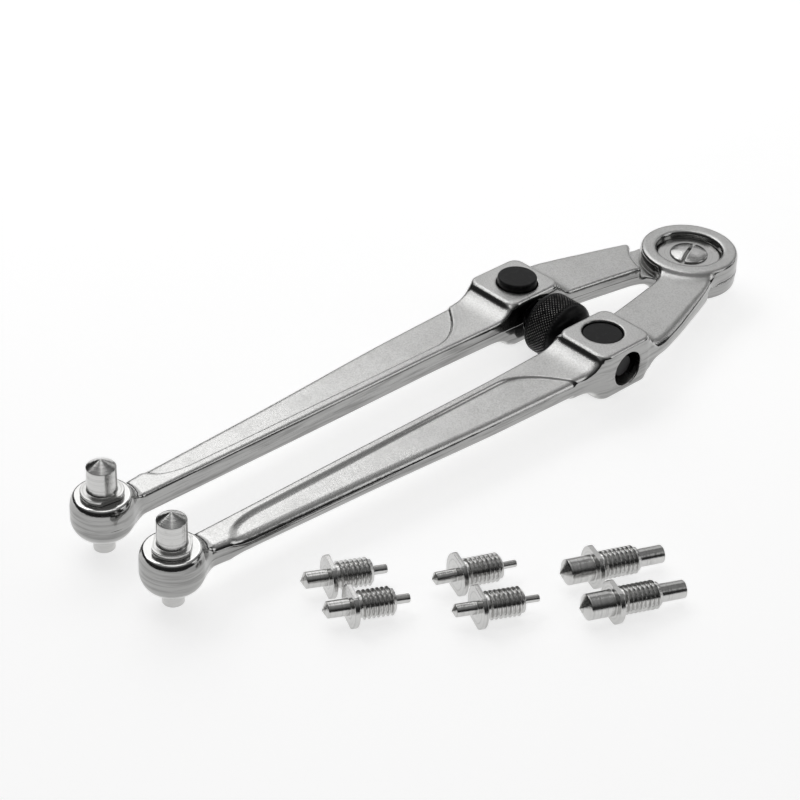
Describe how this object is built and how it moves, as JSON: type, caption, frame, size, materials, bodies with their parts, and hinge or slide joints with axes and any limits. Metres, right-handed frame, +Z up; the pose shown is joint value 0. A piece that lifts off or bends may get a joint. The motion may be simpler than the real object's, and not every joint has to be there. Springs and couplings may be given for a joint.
{
  "type": "adjustable face pin wrench",
  "caption": "Hinged pair of forged arms with screw-in pins, set apart by a knurled wheel on a double-handed spindle, with spare pins beside it.",
  "frame": {"origin": "centre of the pivot screw's flat lower face, on the pivot axis", "axes": "+X from the pivot towards the pins along the tool, +Y towards the arm whose boss is on top, +Z up out of the boss"},
  "size_m": [0.2399, 0.1304, 0.0286],
  "materials": {
    "satin_forging": "satin nickel plate over a fine-grained forging",
    "bright_steel": "turned and bright plated",
    "black_oxide": "black oxide, slightly oiled"
  },
  "bodies": {
    "near_arm": {"arm_near": "satin_forging", "pivot_screw": "bright_steel", "pivot_nut": "bright_steel", "pivot_washer_top": "bright_steel", "pivot_washer_bottom": "bright_steel", "pivot_shim": "bright_steel"},
    "far_arm": {"arm_far": "satin_forging"},
    "near_barrel": {"trunnion_near": "black_oxide"},
    "far_barrel": {"trunnion_far": "black_oxide"},
    "spindle_body": {"spindle": "black_oxide"},
    "wheel_body": {"adjusting_wheel": "black_oxide", "wheel_grub_screw": "black_oxide"},
    "near_pin": {"pin_near": "bright_steel"},
    "far_pin": {"pin_far": "bright_steel"},
    "loose_pin_a1_body": {"loose_pin_a1": "bright_steel"},
    "loose_pin_a2_body": {"loose_pin_a2": "bright_steel"},
    "loose_pin_b1_body": {"loose_pin_b1": "bright_steel"},
    "loose_pin_b2_body": {"loose_pin_b2": "bright_steel"},
    "loose_pin_c1_body": {"loose_pin_c1": "bright_steel"},
    "loose_pin_c2_body": {"loose_pin_c2": "bright_steel"}
  },
  "joints": [
    {"name": "arm_opening", "type": "hinge", "parent": "near_arm", "child": "far_arm", "pos_m": [0, 0, 0.00465], "axis": [0, 0, -1], "range_deg": [0, 12]},
    {"name": "near_barrel_turn", "type": "hinge", "parent": "near_arm", "child": "near_barrel", "pos_m": [0.0592, 0.0175, 0.00465], "axis": [0, 0, -1], "range_deg": [-1, 7]},
    {"name": "far_barrel_turn", "type": "hinge", "parent": "far_arm", "child": "far_barrel", "pos_m": [0.0592, -0.0175, 0.00465], "axis": [0, 0, -1], "range_deg": [-7, 1]},
    {"name": "spindle_feed", "type": "slide", "parent": "near_barrel", "child": "spindle_body", "axis": [0, -1, 0], "range_m": [-0.0005, 0.0075]},
    {"name": "wheel_spin", "type": "hinge", "parent": "spindle_body", "child": "wheel_body", "pos_m": [0.0592, 0, 0.00465], "axis": [0, 1, 0], "range_deg": [-20, 1800]},
    {"name": "near_pin_unscrew", "type": "slide", "parent": "near_arm", "child": "near_pin", "axis": [0, 0, 1], "range_m": [0, 0.02]},
    {"name": "far_pin_unscrew", "type": "slide", "parent": "far_arm", "child": "far_pin", "axis": [0, 0, 1], "range_m": [0, 0.02]},
    {"name": "loose_pin_a1_lift", "type": "slide", "parent": "near_arm", "child": "loose_pin_a1_body", "axis": [0, 0, 1], "range_m": [0, 0.04]},
    {"name": "loose_pin_a2_lift", "type": "slide", "parent": "near_arm", "child": "loose_pin_a2_body", "axis": [0, 0, 1], "range_m": [0, 0.04]},
    {"name": "loose_pin_b1_lift", "type": "slide", "parent": "near_arm", "child": "loose_pin_b1_body", "axis": [0, 0, 1], "range_m": [0, 0.04]},
    {"name": "loose_pin_b2_lift", "type": "slide", "parent": "near_arm", "child": "loose_pin_b2_body", "axis": [0, 0, 1], "range_m": [0, 0.04]},
    {"name": "loose_pin_c1_lift", "type": "slide", "parent": "near_arm", "child": "loose_pin_c1_body", "axis": [0, 0, 1], "range_m": [0, 0.04]},
    {"name": "loose_pin_c2_lift", "type": "slide", "parent": "near_arm", "child": "loose_pin_c2_body", "axis": [0, 0, 1], "range_m": [0, 0.04]}
  ],
  "couplings": [
    {"joint": "near_barrel_turn", "follows": "arm_opening", "ratio": 0.5},
    {"joint": "far_barrel_turn", "follows": "arm_opening", "ratio": -0.5},
    {"joint": "spindle_feed", "follows": "arm_opening", "m_per_rad": 0.02904},
    {"joint": "wheel_spin", "follows": "arm_opening", "ratio": 145.97}
  ]
}
